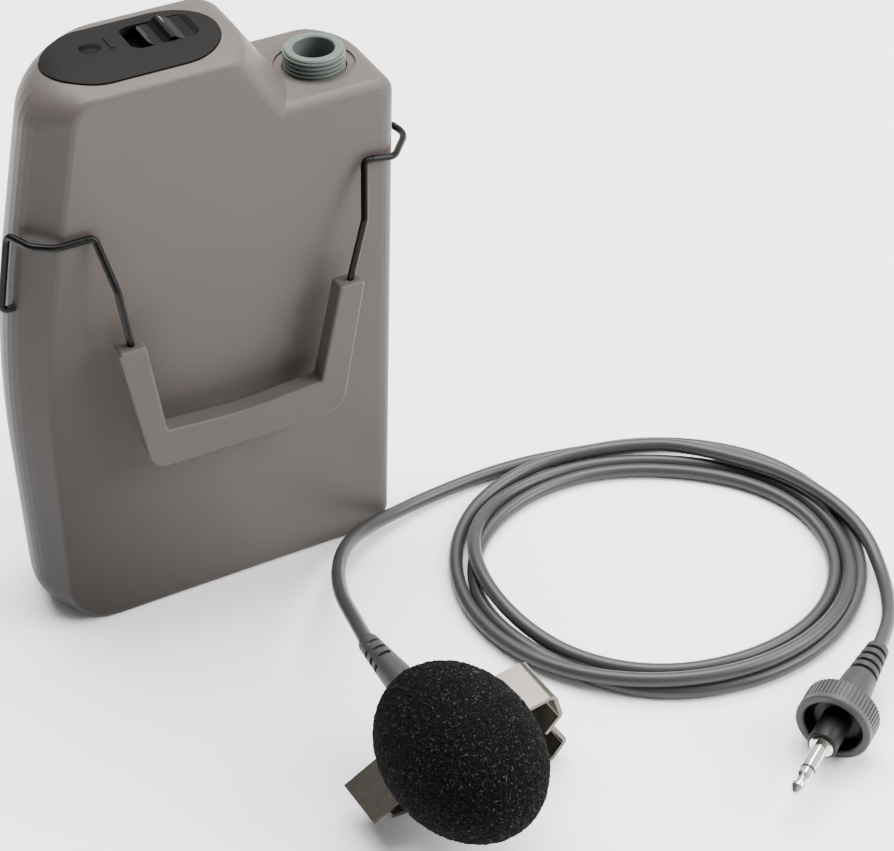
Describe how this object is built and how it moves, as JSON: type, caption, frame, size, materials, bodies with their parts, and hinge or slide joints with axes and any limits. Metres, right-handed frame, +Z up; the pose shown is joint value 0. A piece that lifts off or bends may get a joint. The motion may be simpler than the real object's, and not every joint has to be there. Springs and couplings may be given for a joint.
{
  "type": "lavalier microphone with belt-pack transmitter",
  "caption": "Belt-pack wireless transmitter with a wire belt clip and slide switch, and a foam-covered clip-on microphone on a coiled lead with a threaded plug.",
  "frame": {"origin": "on the floor under the middle of the transmitter case, on its foot", "axes": "+X along the case's width towards the socket side, +Y to the case's back, +Z up"},
  "size_m": [0.1372, 0.1176, 0.1029],
  "materials": {
    "case_plastic": "satin, fine texture",
    "panel_plastic": "satin",
    "knob_plastic": "gloss",
    "lamp_lens": "gloss",
    "socket_metal": "satin",
    "jack_plastic": "matte",
    "contact_brass": "satin",
    "board": "satin",
    "tin": "satin",
    "rotor": "satin",
    "battery_skin": "gloss",
    "screw_steel": "satin",
    "clip_wire": "gloss",
    "mic_metal": "satin",
    "foam": "matte",
    "cord_rubber": "satin",
    "clip_nickel": "satin",
    "plug_nickel": "polished",
    "plug_moulding": "satin"
  },
  "bodies": {
    "case": {"front_case": "case_plastic", "rear_case": "case_plastic", "top_panel": "panel_plastic", "slide_switch": "jack_plastic", "status_lamp": "lamp_lens", "switch_board": "board", "mic_socket": "socket_metal", "jack_body": "jack_plastic", "jack_contacts": "contact_brass", "main_board": "board", "shield_can": "tin", "channel_switch_body": "jack_plastic", "level_trimmer_body": "jack_plastic", "battery": "battery_skin", "battery_tray": "jack_plastic", "battery_contact_plate": "tin", "battery_contact_spring": "tin", "case_screws": "screw_steel", "clip_side_springs": "clip_wire", "mic_housing": "mic_metal", "mic_grille": "mic_metal", "mic_capsule": "tin", "capsule_ring": "cord_rubber", "mic_strain_relief": "cord_rubber", "tie_clip_upper_leaf": "clip_nickel", "tie_clip_pin": "clip_nickel", "tie_clip_ring": "clip_nickel", "tie_clip_spring": "screw_steel", "plug_tip": "plug_nickel", "plug_insulator_ring": "jack_plastic", "plug_sleeve": "plug_nickel", "plug_body": "plug_moulding", "cord_mic_tail": "cord_rubber", "cord_coil": "cord_rubber", "cord_plug_tail": "cord_rubber"},
    "power_knob": {"power_switch_knob": "knob_plastic"},
    "battery_door": {"battery_door": "case_plastic"},
    "channel_selector": {"channel_selector": "rotor"},
    "level_trimmer": {"level_trimmer": "rotor"},
    "belt_clip": {"clip_arms": "clip_wire", "clip_grip": "case_plastic"},
    "clip_jaw": {"tie_clip_lower_leaf": "clip_nickel"},
    "windscreen": {"foam_windscreen": "foam"},
    "plug_nut": {"lock_nut": "plug_moulding"}
  },
  "joints": [
    {"name": "power_switch", "type": "slide", "parent": "case", "child": "power_knob", "axis": [-1, 0, 0], "range_m": [0, 0.0025]},
    {"name": "battery_door_slide", "type": "slide", "parent": "case", "child": "battery_door", "axis": [0, 0, -1], "range_m": [0, 0.008]},
    {"name": "channel_select", "type": "hinge", "parent": "case", "child": "channel_selector", "pos_m": [0.006, 0, 0.026], "axis": [0, 1, 0], "continuous": true},
    {"name": "level_trim", "type": "hinge", "parent": "case", "child": "level_trimmer", "pos_m": [0.016, 0, 0.026], "axis": [0, 1, 0], "range_deg": [-135, 135]},
    {"name": "belt_clip_flex", "type": "hinge", "parent": "case", "child": "belt_clip", "pos_m": [0, -0.0124, 0.0783], "axis": [-1, 0, 0], "range_deg": [0, 12], "stiffness_Nm_per_rad": 0.3, "springref_deg": -5.73},
    {"name": "tie_clip_hinge", "type": "hinge", "parent": "case", "child": "clip_jaw", "pos_m": [0.00644, -0.07409, 0.0074], "axis": [-0.0628, 0.998, 0], "range_deg": [0, 10], "stiffness_Nm_per_rad": 0.05, "springref_deg": -11.46},
    {"name": "windscreen_pull", "type": "slide", "parent": "case", "child": "windscreen", "axis": [0.0628, -0.998, 0], "range_m": [0, 0.02]},
    {"name": "lock_nut_turn", "type": "hinge", "parent": "case", "child": "plug_nut", "pos_m": [0.06792, -0.09475, 0.00642], "axis": [0.8358, 0.549, 0], "continuous": true}
  ]
}
